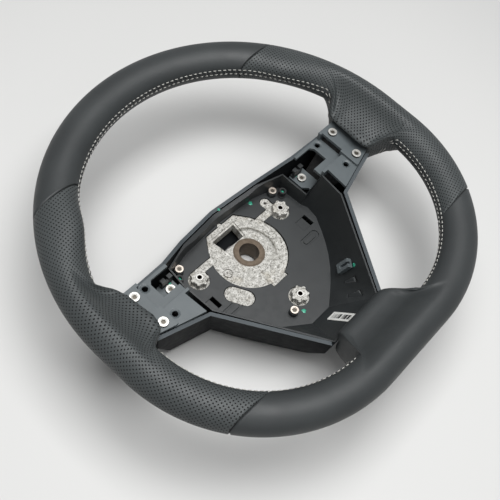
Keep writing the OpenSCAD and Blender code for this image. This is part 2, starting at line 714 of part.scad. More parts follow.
// A screw with its head on z = 0 and its shank below
module screw(r, h, shank) {
    difference() {
        union() {
            cylinder(h = h, r = r);
            translate([0, 0, -shank]) cylinder(h = shank + h / 2, r = shank_r);
        }
        translate([0, 0, h - 1.4]) cylinder(h = 2, r = socket_w / sqrt(3), $fn = 6);
        translate([0, 0, h - 0.5]) cylinder(h = 2, r = r * 0.62);
    }
}
module spoke_screws() {
    color("gainsboro") both_sides() for (p = spoke_screw_places)
        translate([p[0], p[1], strip_z]) screw(head_r, head_h, strip_z - arm_top + 6);
}
module mid_screws() {
    color("gainsboro") both_sides() translate([mid_x, mid_y, mid_z])
        screw(head_r, head_h, mid_z - base_z + 5);
}
module tray_screws() {
    color("rosybrown") for (p = tray_screw_places)
        translate([p[0], p[1], tray_boss_top]) screw(tray_head_r, head_h, tray_boss_top - base_z + 6);
}
module cover_screws() {
    color("gray") at_cover_screws() translate([0, 0, foot_recess - back_z]) rotate([180, 0, 0])
        screw(tray_head_r, head_h, wall + 6);
}

grommet_places = [[-70, 21.6], [70, 21.6]];
grommet_h = 8;
module grommets() {
    color("black") for (p = grommet_places) translate([p[0], p[1], floor_z]) difference() {
        union() {
            cylinder(h = grommet_h, r = grommet_r);
            cylinder(h = 1.5, r = grommet_r + 0.5);
        }
        translate([0, 0, grommet_h - 3]) cylinder(h = 4, r = 2);
    }
}

// Cable clip: a hook that stands on the mid bracket by the upper wall
module cable_clip() {
    translate([81, 20.8, mid_z]) difference() {
        cube([12, 4, 11]);
        translate([-over, 1.4, 3]) cube([14, 4, 5]);
        translate([4.5, -over, 8]) cube([3, 6, 5]);
    }
}
module cable_clip_left() {
    color("lightslategray") mirror([1, 0, 0]) cable_clip();
}
module cable_clip_right() {
    color("lightslategray") cable_clip();
}

// Wall clip: a forked block that sits on one flat of the tray's right wall
clip_flat = 17;
clip_size = [9, 15, 5];
function unit(v) = v / norm(v);
module wall_clip() {
    low = tray_section(clip_flat);
    high = tray_section(clip_flat + 1);
    along = unit(high[4] + high[5] - low[4] - low[5]);
    rise = unit(low[5] + high[5] - low[4] - high[4]);
    out = unit(cross(along, rise));
    up = cross(out, along);
    mid = (low[4] + low[5] + high[4] + high[5]) / 4;
    color("lightslategray") multmatrix([
        [along[0], up[0], out[0], mid[0]],
        [along[1], up[1], out[1], mid[1]],
        [along[2], up[2], out[2], mid[2]],
        [0, 0, 0, 1]]) difference() {
        translate([-clip_size[0] / 2, -clip_size[1] / 2, seat_gap]) cube(clip_size);
        translate([-1.2, -clip_size[1] / 2 + 4, 1.6]) cube([2.4, clip_size[1], clip_size[2]]);
    }
}
seat_gap = 0.3;

// Blank label on the ramp
ramp_high_y = stub_low - 1 - side_rib_w;
ramp_slope = atan((ramp_end_z - 0.4 - floor_z) / (ramp_high_y - ramp_low_y));
module tray_label() {
    color("white") translate([1, -ramp_low_y, floor_z]) rotate([-ramp_slope, 0, 0])
        translate([-3, -37, seat_gap]) cube([9, 24, 0.3]);
}

armature();
hub_insert();
boss_sleeves();
rim_foam();
leather_top();
leather_left_grip();
leather_right_grip();
leather_bottom();
rear_cover();
hub_tray();
spoke_plate_left();
spoke_plate_right();
mid_bracket_left();
mid_bracket_right();
spoke_screws();
mid_screws();
tray_screws();
cover_screws();
grommets();
cable_clip_left();
cable_clip_right();
wall_clip();
tray_label();
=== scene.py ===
"""Looks of a bare car steering wheel: sewn leather over the rim, cast hub, plastic tray and plates."""

import math

import bmesh
import bpy
import numpy as np
from mathutils import Matrix, Vector
from mathutils.bvhtree import BVHTree


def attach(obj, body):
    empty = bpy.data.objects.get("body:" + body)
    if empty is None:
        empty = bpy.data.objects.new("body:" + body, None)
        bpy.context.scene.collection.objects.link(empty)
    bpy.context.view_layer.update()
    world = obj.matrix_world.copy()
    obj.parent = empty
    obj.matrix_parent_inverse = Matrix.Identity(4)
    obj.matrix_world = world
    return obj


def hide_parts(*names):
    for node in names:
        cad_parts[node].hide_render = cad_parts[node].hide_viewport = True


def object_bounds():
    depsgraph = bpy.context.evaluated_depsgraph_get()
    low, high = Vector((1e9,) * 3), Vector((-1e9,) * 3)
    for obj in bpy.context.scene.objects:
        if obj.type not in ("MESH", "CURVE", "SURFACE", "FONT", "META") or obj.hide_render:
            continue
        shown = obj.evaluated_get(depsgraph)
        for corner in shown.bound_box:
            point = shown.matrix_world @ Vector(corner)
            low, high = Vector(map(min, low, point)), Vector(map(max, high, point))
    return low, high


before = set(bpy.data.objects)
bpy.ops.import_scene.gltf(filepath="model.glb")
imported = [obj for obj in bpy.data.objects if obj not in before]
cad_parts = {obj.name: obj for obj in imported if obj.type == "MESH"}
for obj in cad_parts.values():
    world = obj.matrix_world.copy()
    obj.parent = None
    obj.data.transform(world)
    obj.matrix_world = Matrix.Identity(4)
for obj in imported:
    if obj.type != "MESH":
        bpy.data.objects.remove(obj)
cad_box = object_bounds()
MM = 0.001

# Camera: where the photograph was taken from, in the wheel's own frame
AZIMUTH, ELEVATION, ROLL = (math.radians(a) for a in (-68.64, 60.72, 22.79))
DISTANCE = 0.61619
AIM = Vector((-0.03774, -0.05811, 0.071))
FOCAL_PX, IMAGE_PX = 759.16, 500
PRINCIPAL = (283.18, 283.40)


def make_camera():
    """The camera that took the photograph, as fitted to the wheel's rim, bore and screws."""
    back = Vector((math.sin(AZIMUTH) * math.cos(ELEVATION),
                   -math.cos(AZIMUTH) * math.cos(ELEVATION), math.sin(ELEVATION)))
    level = Vector((math.cos(AZIMUTH), math.sin(AZIMUTH), 0))
    rise = back.cross(level)
    right = level * math.cos(ROLL) + rise * math.sin(ROLL)
    up = rise * math.cos(ROLL) - level * math.sin(ROLL)
    data = bpy.data.cameras.new("camera")
    data.sensor_width = 36
    data.lens = FOCAL_PX * data.sensor_width / IMAGE_PX
    data.shift_x = (IMAGE_PX / 2 - PRINCIPAL[0]) / IMAGE_PX
    data.shift_y = (PRINCIPAL[1] - IMAGE_PX / 2) / IMAGE_PX
    data.clip_start, data.clip_end = 0.01, 20
    cam = bpy.data.objects.new("camera", data)
    bpy.context.scene.collection.objects.link(cam)
    pose = Matrix((right, up, back)).transposed().to_4x4()
    pose.translation = AIM + back * DISTANCE
    cam.matrix_world = pose
    bpy.context.scene.camera = cam


make_camera()

# Sizes of the rim, in millimetres, as in the solids
RIM_R, GRIP_W, GRIP_D, RIM_H = 185, 34, 32, 71
FLAT_Y, CORNER_R = 176, 147
SWELL, SWELL_LEN, HOLLOW, HOLLOW_LEN = 8, 26, 4, 22
LEATHER, SEAM_GAP, SEAM_UP, SEAM_LOW = 1.3, 0.8, 116, 112
STUB_IN, STUB_UP, STUB_DOWN, STUB_LOW, STUB_LOW_W = 139, 33, 20, 120, 70
SIDE_T, LOW_T, SIDE_DROP, LOW_DROP = 41, 51, 25.5, 30.5
RIM_C, CORNER_C = RIM_R - GRIP_W / 2, CORNER_R - GRIP_W / 2
CORNER_X, CORNER_Y = RIM_R - CORNER_R, FLAT_Y - CORNER_R
LEN_TOP = RIM_C * math.pi / 2
LEN_SIDE = LEN_TOP + CORNER_Y
LEN_CORNER = LEN_SIDE + CORNER_C * math.pi / 2
HALF_LEN = LEN_CORNER + CORNER_X
EASE, FLARE, SOFTEN, ROUND, LEAN = 8, 14, 8, 0.42, 0.75
SIDE_FROM = LEN_TOP - RIM_C * math.atan(STUB_UP / STUB_IN)
SIDE_TO = LEN_TOP + STUB_DOWN
SIDE_MID, SIDE_HALF = (SIDE_FROM + SIDE_TO) / 2, (SIDE_TO - SIDE_FROM) / 2
SIDE_REACH, LOW_REACH = RIM_R - GRIP_W - STUB_IN, FLAT_Y - GRIP_W - STUB_LOW
SWELL_AT = LEN_TOP - RIM_C * math.radians(35)
HOLLOW_AT = LEN_TOP - RIM_C * math.radians(15)
SWELL_DIR = math.radians(138)


def smooth(t):
    t = np.clip(t, 0, 1)
    return t * t * (3 - 2 * t)


def window(x, mid, half, ease):
    return smooth((half + ease - abs(x - mid)) / (2 * ease))


def mid_line(a):
    """Point and outward direction of the rim's middle line at length a from twelve o'clock."""
    top = math.pi / 2 - a / RIM_C
    low = -(a - LEN_SIDE) / CORNER_C
    cases = [a < LEN_TOP, a < LEN_SIDE, a < LEN_CORNER]
    x = np.select(cases, [RIM_C * np.cos(top), RIM_C + 0 * a, CORNER_X + CORNER_C * np.cos(low)],
                  CORNER_X + LEN_CORNER - a)
    y = np.select(cases, [RIM_C * np.sin(top), LEN_TOP - a, -CORNER_Y + CORNER_C * np.sin(low)],
                  -CORNER_Y - CORNER_C)
    t = np.select(cases, [top, 0 * a, low], -math.pi / 2)
    return x, y, t


def rim_point(s, phi, inset):
    """Points of the leather's skin, in millimetres: s along the rim, phi round the section, inset deep."""
    a = abs(s)
    x, y, t = mid_line(a)
    c, q = np.cos(phi), np.sin(phi)
    m = np.maximum(0, -c)
    flare, ease = FLARE * (1 - m), EASE + SOFTEN * (1 - m)
    side = window(a, SIDE_MID, SIDE_HALF + flare, ease)
    low = window(a, HALF_LEN, STUB_LOW_W / 2 + flare, ease)
    share = np.maximum(side, low)
    lean = np.where(q < 0, np.sqrt(m), smooth(m / LEAN))
    thumb = (SWELL * np.exp(-((a - SWELL_AT) / SWELL_LEN) ** 2)
             - HOLLOW * np.exp(-((a - HOLLOW_AT) / HOLLOW_LEN) ** 2))
    push = thumb * np.maximum(0, np.cos(phi - SWELL_DIR)) ** 2
    half_t = np.where(a > LEN_SIDE, LOW_T, SIDE_T) / 2
    flat = np.sign(q) * abs(q) ** ROUND * (half_t - inset)
    sink = side * SIDE_DROP + low * LOW_DROP
    rad = c * (GRIP_W / 2 - inset) - m * (side * SIDE_REACH + low * LOW_REACH) + push * math.cos(SWELL_DIR)
    up = ((GRIP_D / 2 - inset) * q * (1 - lean * share) + lean * share * flat - lean * sink
          + push * math.sin(SWELL_DIR) / 2)
    return np.stack([np.where(s < 0, -1, 1) * (x + rad * np.cos(t)), y + rad * np.sin(t), RIM_H + up], -1)


def place(w, phi):
    """Length along the rim for a place w: 0 twelve o'clock, 1 and 2 the seams, 3 six o'clock."""
    up = LEN_TOP - RIM_C * np.arcsin(SEAM_UP / (RIM_C + np.cos(phi) * GRIP_W / 2))
    low = LEN_SIDE + CORNER_C * np.arcsin((SEAM_LOW - CORNER_Y) / (CORNER_C + np.cos(phi) * GRIP_W / 2))
    v = np.where(w > 3, w - 6, w)
    a = abs(v)
    s = np.select([a < 1, a < 2], [a * up, up + (a - 1) * (low - up)], low + (a - 2) * (HALF_LEN - low))
    return np.where(v < 0, -1, 1) * s


def flatten(points, rounds=400):
    """Flat coordinates, in millimetres, of a grid of skin points, with lengths kept as well as they can be.

    It is a least squares fit to each cell's sides, solved by conjugate gradients."""
    down, along = np.diff(points, axis=0), np.diff(points, axis=1)
    size = np.linalg.norm(down, axis=2)
    lead = down / size[..., None]
    lead = np.concatenate([lead[:1], (lead[1:] + lead[:-1]) / 2, lead[-1:]])
    lead = (lead[:, 1:] + lead[:, :-1]) / 2
    lead /= np.linalg.norm(lead, axis=2)[..., None]
    shear = (along * lead).sum(2)
    across = np.sqrt(np.maximum(0, (along ** 2).sum(2) - shear ** 2))

    def spread(a, b):
        out = np.zeros(points.shape[:2])
        out[1:] += a
        out[:-1] -= a
        out[:, 1:] += b
        out[:, :-1] -= b
        return out

    flat = []
    for a, b in ((size, shear), (0 * size, across)):
        start = np.zeros(points.shape[:2])
        start[1:] += np.cumsum(a, 0)
        start[:, 1:] += np.cumsum(b[:1].repeat(len(points), 0), 1) * (1 if a.any() else 0)
        x = start - start.mean()
        r = spread(a, b) - spread(np.diff(x, axis=0), np.diff(x, axis=1))
        d, old = r.copy(), (r * r).sum()
        for _ in range(rounds):
            q = spread(np.diff(d, axis=0), np.diff(d, axis=1))
            step = old / max((d * q).sum(), 1e-12)
            x += step * d
            r -= step * q
            new = (r * r).sum()
            d = r + new / max(old, 1e-12) * d
            old = new
        flat.append(x - x[:1, points.shape[1] // 2:points.shape[1] // 2 + 1])
    return np.stack(flat, -1)


def add_piece(name, points, faces, material, smooth_faces=True):
    """A mesh piece of the wheel from points in millimetres."""
    mesh = bpy.data.meshes.new(name)
    mesh.from_pydata((np.asarray(points, float) * MM).tolist(), [], faces)
    mesh.validate()
    mesh.polygons.foreach_set("use_smooth", [smooth_faces] * len(mesh.polygons))
    obj = bpy.data.objects.new(name, mesh)
    bpy.context.scene.collection.objects.link(obj)
    obj.data.materials.append(material)
    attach(obj, "root")
    return obj


# Material helpers
def new_material(name, **settings):
    """A Principled material and its node tree; settings are plain values of the shader's sockets."""
    mat = bpy.data.materials.new(name)
    mat.use_nodes = True
    shader = mat.node_tree.nodes["Principled BSDF"]
    for key, value in settings.items():
        shader.inputs[key.replace("_", " ")].default_value = value
    return mat, mat.node_tree, shader


def add_node(tree, kind, inputs=None, **attributes):
    node = tree.nodes.new(kind)
    for key, value in attributes.items():
        setattr(node, key, value)
    for key, value in (inputs or {}).items():
        if isinstance(value, bpy.types.NodeSocket):
            tree.links.new(value, node.inputs[key])
        else:
            node.inputs[key].default_value = value
    return node


def math_node(tree, operation, a, b=0.0):
    return add_node(tree, "ShaderNodeMath", {0: a, 1: b}, operation=operation).outputs[0]


def vector_node(tree, operation, *inputs):
    outputs = add_node(tree, "ShaderNodeVectorMath", dict(enumerate(inputs)), operation=operation).outputs
    return outputs["Value" if operation in ("LENGTH", "DOT_PRODUCT") else "Vector"]


def mix_colours(tree, factor, first, second, blend="MIX"):
    return add_node(tree, "ShaderNodeMix", {0: factor, 6: first, 7: second}, data_type="RGBA",
                    blend_type=blend).outputs[2]


def map_range(tree, value, from_min, from_max, to_min=0.0, to_max=1.0, **attributes):
    return add_node(tree, "ShaderNodeMapRange", {"Value": value, "From Min": from_min, "From Max": from_max,
                                                 "To Min": to_min, "To Max": to_max},
                    **attributes).outputs["Result"]


def axes(tree, space="Object"):
    """X, Y and Z of a point in the piece's own frame, or in its flat coordinates."""
    coords = add_node(tree, "ShaderNodeTexCoord").outputs[space]
    return add_node(tree, "ShaderNodeSeparateXYZ", {0: coords}).outputs


def object_noise(tree, scale, detail=3.0, rough=0.55):
    coords = add_node(tree, "ShaderNodeTexCoord").outputs["Object"]
    return add_node(tree, "ShaderNodeTexNoise", {"Vector": coords, "Scale": scale, "Detail": detail,
                                                 "Roughness": rough}).outputs["Fac"]


def ramp(tree, factor, stops):
    node = add_node(tree, "ShaderNodeValToRGB", {"Fac": factor})
    while len(node.color_ramp.elements) < len(stops):
        node.color_ramp.elements.new(0.5)
    for element, (position, colour) in zip(node.color_ramp.elements, stops):
        element.position = position
        element.color = (*colour, 1)
    return node.outputs["Color"]


def bump(tree, height, distance, strength=1.0, normal=None):
    inputs = {"Height": height, "Distance": distance, "Strength": strength}
    if normal is not None:
        inputs["Normal"] = normal
    return add_node(tree, "ShaderNodeBump", inputs).outputs["Normal"]


def edges(tree, radius):
    """Softly rounded edges, as moulds and tools leave them."""
    return add_node(tree, "ShaderNodeBevel", {"Radius": radius}, samples=6).outputs["Normal"]


# Leather and its holes: pitch in millimetres, and the hole's edge as shares of the pitch
HOLE_PITCH = 2.7
HOLE_R = (0.17, 0.25)


def leather(name, dark, light, holes):
    """Coated leather: fine pebble grain and slow tone changes, with a diagonal grid of holes on the grips."""
    mat, tree, shader = new_material(name, Specular_IOR_Level=0.42)
    coords = add_node(tree, "ShaderNodeTexCoord")
    tone = ramp(tree, object_noise(tree, 22, 4), [(0.35, dark), (0.7, light)])
    pebbles = add_node(tree, "ShaderNodeTexVoronoi", {"Vector": coords.outputs["Object"], "Scale": 1500.0},
                       feature="DISTANCE_TO_EDGE").outputs["Distance"]
    creases = ramp(tree, pebbles, [(0.0, (0, 0, 0)), (0.22, (1, 1, 1))])
    normal = bump(tree, creases, 0.00005, 0.5)
    normal = bump(tree, object_noise(tree, 260, 3), 0.00008, 0.35, normal)
    shine = ramp(tree, object_noise(tree, 60, 4), [(0.3, (0.46,) * 3), (0.75, (0.56,) * 3)])
    tree.links.new(shine, shader.inputs["Roughness"])
    if holes:
        turned = add_node(tree, "ShaderNodeMapping", {"Vector": coords.outputs["UV"],
                                                      "Rotation": (0, 0, math.radians(45)),
                                                      "Scale": (1 / HOLE_PITCH,) * 3})
        cell = vector_node(tree, "FRACTION", turned.outputs[0])
        from_middle = vector_node(tree, "SUBTRACT", cell, (0.5, 0.5, 0))
        away = vector_node(tree, "LENGTH", vector_node(tree, "MULTIPLY", from_middle, (1, 1, 0)))
        solid = map_range(tree, away, *HOLE_R, interpolation_type="SMOOTHSTEP")
        # The holes are near black: the dark backing seen through them, and painted shade inside them
        tone = mix_colours(tree, solid, (0.0015, 0.0015, 0.0015, 1), tone)
        normal = bump(tree, solid, 0.0005, 1.0, normal)
        tree.links.new(add_node(tree, "ShaderNodeMix", {0: solid, 2: 0.95, 3: shine}).outputs[0],
                       shader.inputs["Roughness"])
    tree.links.new(tone, shader.inputs["Base Color"])
    tree.links.new(normal, shader.inputs["Normal"])
    return mat


smooth_leather = leather("smooth_leather", (0.023, 0.026, 0.027), (0.031, 0.035, 0.036), False)
grip_leather = leather("perforated_leather", (0.042, 0.048, 0.049), (0.053, 0.060, 0.061), True)


def plastic(name, dark, light, roughness, grain, scuffs=0.25, wall_shade=None):
    """Moulded plastic: eroded grain, slow tone changes, dull scuffed spots, and edges painted paler, partly
    as wear and partly as a painted edge highlight.

    When a wall colour is given, it is painted shade on what doesn't face up and on what lies below the hub's
    face, which also lose most of their reflection."""
    mat, tree, shader = new_material(name, Specular_IOR_Level=0.45 if wall_shade is None else 0.2)
    tone = ramp(tree, object_noise(tree, 35, 5, 0.6), [(0.3, dark), (0.7, light)])
    faces = add_node(tree, "ShaderNodeNewGeometry").outputs["Normal"]
    # Painted shade: what doesn't face up, and what lies below the hub's face, takes the dark wall colour
    if wall_shade is not None:
        level = add_node(tree, "ShaderNodeSeparateXYZ", {0: faces}).outputs["Z"]
        high = map_range(tree, axes(tree)["Z"], 0, 4 * MM)
        top = math_node(tree, "MULTIPLY", map_range(tree, level, 0.35, 0.75), high)
        tone = mix_colours(tree, top, (*wall_shade, 1), tone)
    wide = edges(tree, 0.0005)
    turn = vector_node(tree, "DOT_PRODUCT", wide, faces)
    patchy = math_node(tree, "MULTIPLY", object_noise(tree, 220, 4, 0.7), 1.1)
    # Edges turned from the face are painted paler: partly wear, partly a painted highlight
    worn_and_highlit = math_node(tree, "MULTIPLY", map_range(tree, turn, 0.99, 0.93, 0, 0.75), patchy)
    # With a wall colour, the paler edges and most reflection stay on the faces that look up, and the rest is
    # painted shade
    if wall_shade is not None:
        worn_and_highlit = math_node(tree, "MULTIPLY", worn_and_highlit, top)
        tree.links.new(map_range(tree, top, 0, 1, 0.02, 0.2), shader.inputs["Specular IOR Level"])
    tone = mix_colours(tree, worn_and_highlit, tone, (*(1.9 * v + 0.02 for v in light), 1))
    tree.links.new(tone, shader.inputs["Base Color"])
    spread = scuffs * roughness
    dull = ramp(tree, object_noise(tree, 140, 6, 0.7),
                [(0.35, (roughness - spread / 2,) * 3), (0.65, (roughness + spread / 2,) * 3)])
    tree.links.new(dull, shader.inputs["Roughness"])
    normal = bump(tree, object_noise(tree, 1800, 2), 0.00003, grain, wide)
    normal = bump(tree, object_noise(tree, 120, 2), 0.0001, 0.12, normal)
    tree.links.new(normal, shader.inputs["Normal"])
    return mat


# The cover's sides and its surfaces below the hub's face carry painted shade
cover_plastic = plastic("cover_plastic", (0.060, 0.070, 0.076), (0.078, 0.090, 0.098), 0.46, 0.5,
                        wall_shade=(0.010, 0.011, 0.012))
grey_plastic = plastic("grey_plastic", (0.080, 0.094, 0.100), (0.098, 0.114, 0.121), 0.46, 0.5)
dark_plastic = plastic("dark_plastic", (0.015, 0.017, 0.018), (0.022, 0.025, 0.026), 0.5, 0.6)
foam = plastic("foam", (0.012, 0.012, 0.012), (0.018, 0.018, 0.018), 0.8, 0.8)
black_rubber = plastic("black_rubber", (0.010, 0.010, 0.011), (0.018, 0.018, 0.019), 0.6, 0.5)


# Casting: where its arms turn black, in metres, and ramp units per metre from the bore
BLACK_FROM_X, BLACK_FROM_Y = (0.077, 0.079), (-0.084, -0.086)
RIB_SCALE = 10.0


def cast_alloy():
    """Die-cast light alloy: bright skin with crisp dark flecks and flow marks, a curved rib beside the steel
    insert with painted shade just outside it, and its arms black towards their ends."""
    mat, tree, shader = new_material("cast_alloy", Specular_IOR_Level=0.5)
    flow = object_noise(tree, 260, 10, 0.8)
    fine = object_noise(tree, 700, 8, 0.8)
    streak = object_noise(tree, 45, 4, 0.6)
    skin = ramp(tree, flow, [(0.36, (0.19, 0.185, 0.165)), (0.43, (0.39, 0.38, 0.35)),
                             (0.52, (0.60, 0.59, 0.555)), (0.66, (0.78, 0.77, 0.74))])
    flecks = ramp(tree, fine, [(0.39, (0.06, 0.055, 0.045)), (0.44, (0.45, 0.44, 0.41)), (0.48, (1, 1, 1))])
    stains = ramp(tree, streak, [(0.3, (0.70, 0.64, 0.54)), (0.45, (1, 1, 1))])
    tone = mix_colours(tree, 1.0, skin, flecks, "MULTIPLY")
    tone = mix_colours(tree, 0.7, tone, stains, "MULTIPLY")
    at = axes(tree)
    level_point = add_node(tree, "ShaderNodeCombineXYZ", {"X": at["X"], "Y": at["Y"]}).outputs[0]
    from_bore = math_node(tree, "MULTIPLY", vector_node(tree, "LENGTH", level_point), RIB_SCALE)
    rib = ramp(tree, from_bore, [(0.205, (0,) * 3), (0.222, (1,) * 3), (0.236, (1,) * 3), (0.262, (0,) * 3)])
    # Painted shade in a band just outside the rib, on the rib's side of the hub
    rib_shade = ramp(tree, from_bore, [(0.246, (1, 1, 1)), (0.256, (0.42, 0.41, 0.38)), (0.264, (0.5, 0.49, 0.46)),
                                  (0.276, (1, 1, 1))])
    rib_side = map_range(tree, math_node(tree, "ADD", at["X"], at["Y"]), -0.006, 0.006)
    tone = mix_colours(tree, rib_side, tone, mix_colours(tree, 1.0, tone, rib_shade, "MULTIPLY"))
    # The arms are black beyond these bounds
    black_ends = math_node(tree, "MAXIMUM", map_range(tree, math_node(tree, "ABSOLUTE", at["X"]), *BLACK_FROM_X),
                     map_range(tree, at["Y"], *BLACK_FROM_Y))
    tone = mix_colours(tree, black_ends, tone, (0.012, 0.012, 0.012, 1))
    tree.links.new(tone, shader.inputs["Base Color"])
    bare = math_node(tree, "SUBTRACT", 1.0, black_ends)
    tree.links.new(math_node(tree, "MULTIPLY", bare, 0.3), shader.inputs["Metallic"])
    tree.links.new(ramp(tree, fine, [(0.3, (0.72,) * 3), (0.7, (0.45,) * 3)]), shader.inputs["Roughness"])
    normal = bump(tree, fine, 0.0003, 0.7, edges(tree, 0.0008))
    normal = bump(tree, flow, 0.0011, 0.8, normal)
    normal = bump(tree, math_node(tree, "MULTIPLY", rib, rib_side), 0.0012, 0.9, normal)
    tree.links.new(normal, shader.inputs["Normal"])
    return mat


def metal(name, dark, light, roughness, scale=300.0, top=None, socket_shade=(0.10, 0.09, 0.075)):
    """Turned or plated steel with fine uneven marks; below the height top, in its socket and down its sides,
    it is painted dark as shade.
    """
    mat, tree, shader = new_material(name, Metallic=0.85, Specular_IOR_Level=0.5)
    grain = object_noise(tree, scale, 6, 0.65)
    tone = ramp(tree, grain, [(0.3, dark), (0.7, light)])
    # Painted shade in the socket and down the head's sides, below the height top
    if top is not None:
        unshaded = map_range(tree, axes(tree)["Z"], (top - 0.75) * MM, (top - 0.25) * MM)
        tone = mix_colours(tree, unshaded, (*socket_shade, 1), tone)
    tree.links.new(tone, shader.inputs["Base Color"])
    tree.links.new(ramp(tree, grain, [(0.3, (roughness - 0.06,) * 3), (0.7, (roughness + 0.1,) * 3)]),
                   shader.inputs["Roughness"])
    tree.links.new(bump(tree, grain, 0.00006, 0.5, edges(tree, 0.0003)), shader.inputs["Normal"])
    return mat


alloy = cast_alloy()
hub_steel = metal("hub_steel", (0.075, 0.056, 0.040), (0.15, 0.12, 0.092), 0.5)
strip_steel = metal("strip_steel", (0.50, 0.49, 0.46), (0.68, 0.67, 0.64), 0.42, top=55.2)
bracket_steel = metal("bracket_steel", (0.50, 0.49, 0.46), (0.68, 0.67, 0.64), 0.42, top=21.2)
# The sleeves' bores: a copper brown, darkened as painted shade
sleeve_steel = metal("sleeve_steel", (0.45, 0.44, 0.42), (0.62, 0.61, 0.58), 0.42, top=6.6,
                     socket_shade=(0.05, 0.022, 0.014))
copper_steel = metal("copper_steel", (0.48, 0.41, 0.35), (0.66, 0.60, 0.54), 0.42, top=8.2)
dark_steel = metal("dark_steel", (0.03, 0.03, 0.03), (0.06, 0.06, 0.06), 0.4)


def fibre(name, dark, light):
    """Twisted sewing thread."""
    mat, tree, shader = new_material(name, Roughness=0.7, Sheen_Weight=0.3)
    coords = add_node(tree, "ShaderNodeTexCoord").outputs["Object"]
    twist = add_node(tree, "ShaderNodeTexWave", {"Vector": coords, "Scale": 900.0, "Distortion": 2.0},
                     bands_direction="DIAGONAL").outputs["Fac"]
    tree.links.new(ramp(tree, twist, [(0.2, dark), (0.8, light)]), shader.inputs["Base Color"])
    tree.links.new(bump(tree, twist, 0.00008, 0.6), shader.inputs["Normal"])
    return mat


light_thread = fibre("light_thread", (0.30, 0.30, 0.28), (0.58, 0.57, 0.53))
dark_thread = fibre("dark_thread", (0.008, 0.008, 0.008), (0.02, 0.02, 0.02))


def paint(name, dark, light):
    """Thick dabbed paint."""
    mat, tree, shader = new_material(name, Roughness=0.35, Specular_IOR_Level=0.5)
    tree.links.new(ramp(tree, object_noise(tree, 600, 4), [(0.35, dark), (0.65, light)]),
                   shader.inputs["Base Color"])
    tree.links.new(bump(tree, object_noise(tree, 900, 3), 0.0001, 0.5), shader.inputs["Normal"])
    return mat


green_paint = paint("green_paint", (0.012, 0.15, 0.095), (0.045, 0.40, 0.26))

NODE_MATERIALS = {
    "armature": alloy, "hub_insert": hub_steel, "boss_sleeves": sleeve_steel, "rim_foam": foam,
    "rear_cover": cover_plastic, "hub_tray": dark_plastic, "spoke_plate_left": grey_plastic,
    "spoke_plate_right": grey_plastic, "mid_bracket_left": grey_plastic, "mid_bracket_right": grey_plastic,
    "spoke_screws": strip_steel, "mid_screws": bracket_steel, "tray_screws": copper_steel,
    "cover_screws": dark_steel, "grommets": black_rubber, "cable_clip_left": dark_plastic,
    "cable_clip_right": dark_plastic, "wall_clip": grey_plastic, "tray_label": dark_plastic,
    "leather_top": smooth_leather, "leather_bottom": smooth_leather,
    "leather_left_grip": grip_leather, "leather_right_grip": grip_leather,
}
for node, material in NODE_MATERIALS.items():
    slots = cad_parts[node].data.materials
    if len(slots) == 0:
        slots.append(material)
    for i in range(len(slots)):
        slots[i] = material


def soften(node, degrees):
    """Shades the flats of a curved moulding as one surface, and keeps its edges above the angle sharp."""
    group = bpy.data.node_groups.new("soften_" + node, "GeometryNodeTree")
    group.interface.new_socket("Geometry", in_out="INPUT", socket_type="NodeSocketGeometry")
    group.interface.new_socket("Geometry", in_out="OUTPUT", socket_type="NodeSocketGeometry")
    plain = add_node(group, "GeometryNodeRemoveAttribute",
                     {0: add_node(group, "NodeGroupInput").outputs[0], "Name": "custom_normal"})
    merged = add_node(group, "GeometryNodeMergeByDistance", {0: plain.outputs[0], "Distance": 0.00002})
    faces = add_node(group, "GeometryNodeSetShadeSmooth", {0: merged.outputs[0], "Shade Smooth": True},
                     domain="FACE")
    angle = add_node(group, "GeometryNodeInputMeshEdgeAngle").outputs[0]
    sharp = add_node(group, "FunctionNodeCompare", {0: angle, 1: math.radians(degrees)},
                     data_type="FLOAT", operation="GREATER_THAN").outputs[0]
    lines = add_node(group, "GeometryNodeSetShadeSmooth",
                     {0: faces.outputs[0], "Selection": sharp, "Shade Smooth": False}, domain="EDGE")
    group.links.new(lines.outputs[0], group.nodes.new("NodeGroupOutput").inputs[0])
    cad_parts[node].modifiers.new("soften", "NODES").node_group = group


soften("rear_cover", 28)
soften("hub_tray", 28)


# Leather panels: a fine skin with its edges turned down into the seams
EDGE_TURN = 1.2
ROUND_POINTS = 112
SKIN_GAP, FOAM_REACH, LIFT_ROUNDS = 0.35, 0.006, 24
# Padded lips of the stubs: how far they are pushed out along their length, and where they fade
LIP_Y = [-30, -20, -12, -4, 8, 22, 33, 42]
LIP_PUSH = [0, 6.5, 9.5, 11, 9.5, 8.5, 5, 0]
LIP_REACH, LIP_REACH_EASE, LIP_FOOT, LIP_FOOT_EASE, LIP_FROM = 160, 18, 54, 4.5, 120
LOW_LIP_X = [-46, -36, -24, 24, 36, 46]
LOW_LIP_PUSH = [0, 3.5, 4.5, 4.5, 3.5, 0]
LOW_LIP_REACH, LOW_LIP_REACH_EASE, LOW_LIP_FOOT, LOW_LIP_FOOT_EASE, LOW_LIP_FROM = -140, 16, 41, 8, -100
LIP_RISE, LOW_LIP_RISE = 0.4, 0.3
trees = {}


def solid_tree(node):
    """Search tree over a solid of the frame, in metres."""
    if node not in trees:
        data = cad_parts[node].data
        trees[node] = BVHTree.FromPolygons([v.co[:] for v in data.vertices],
                                           [p.vertices[:] for p in data.polygons])
    return trees[node]


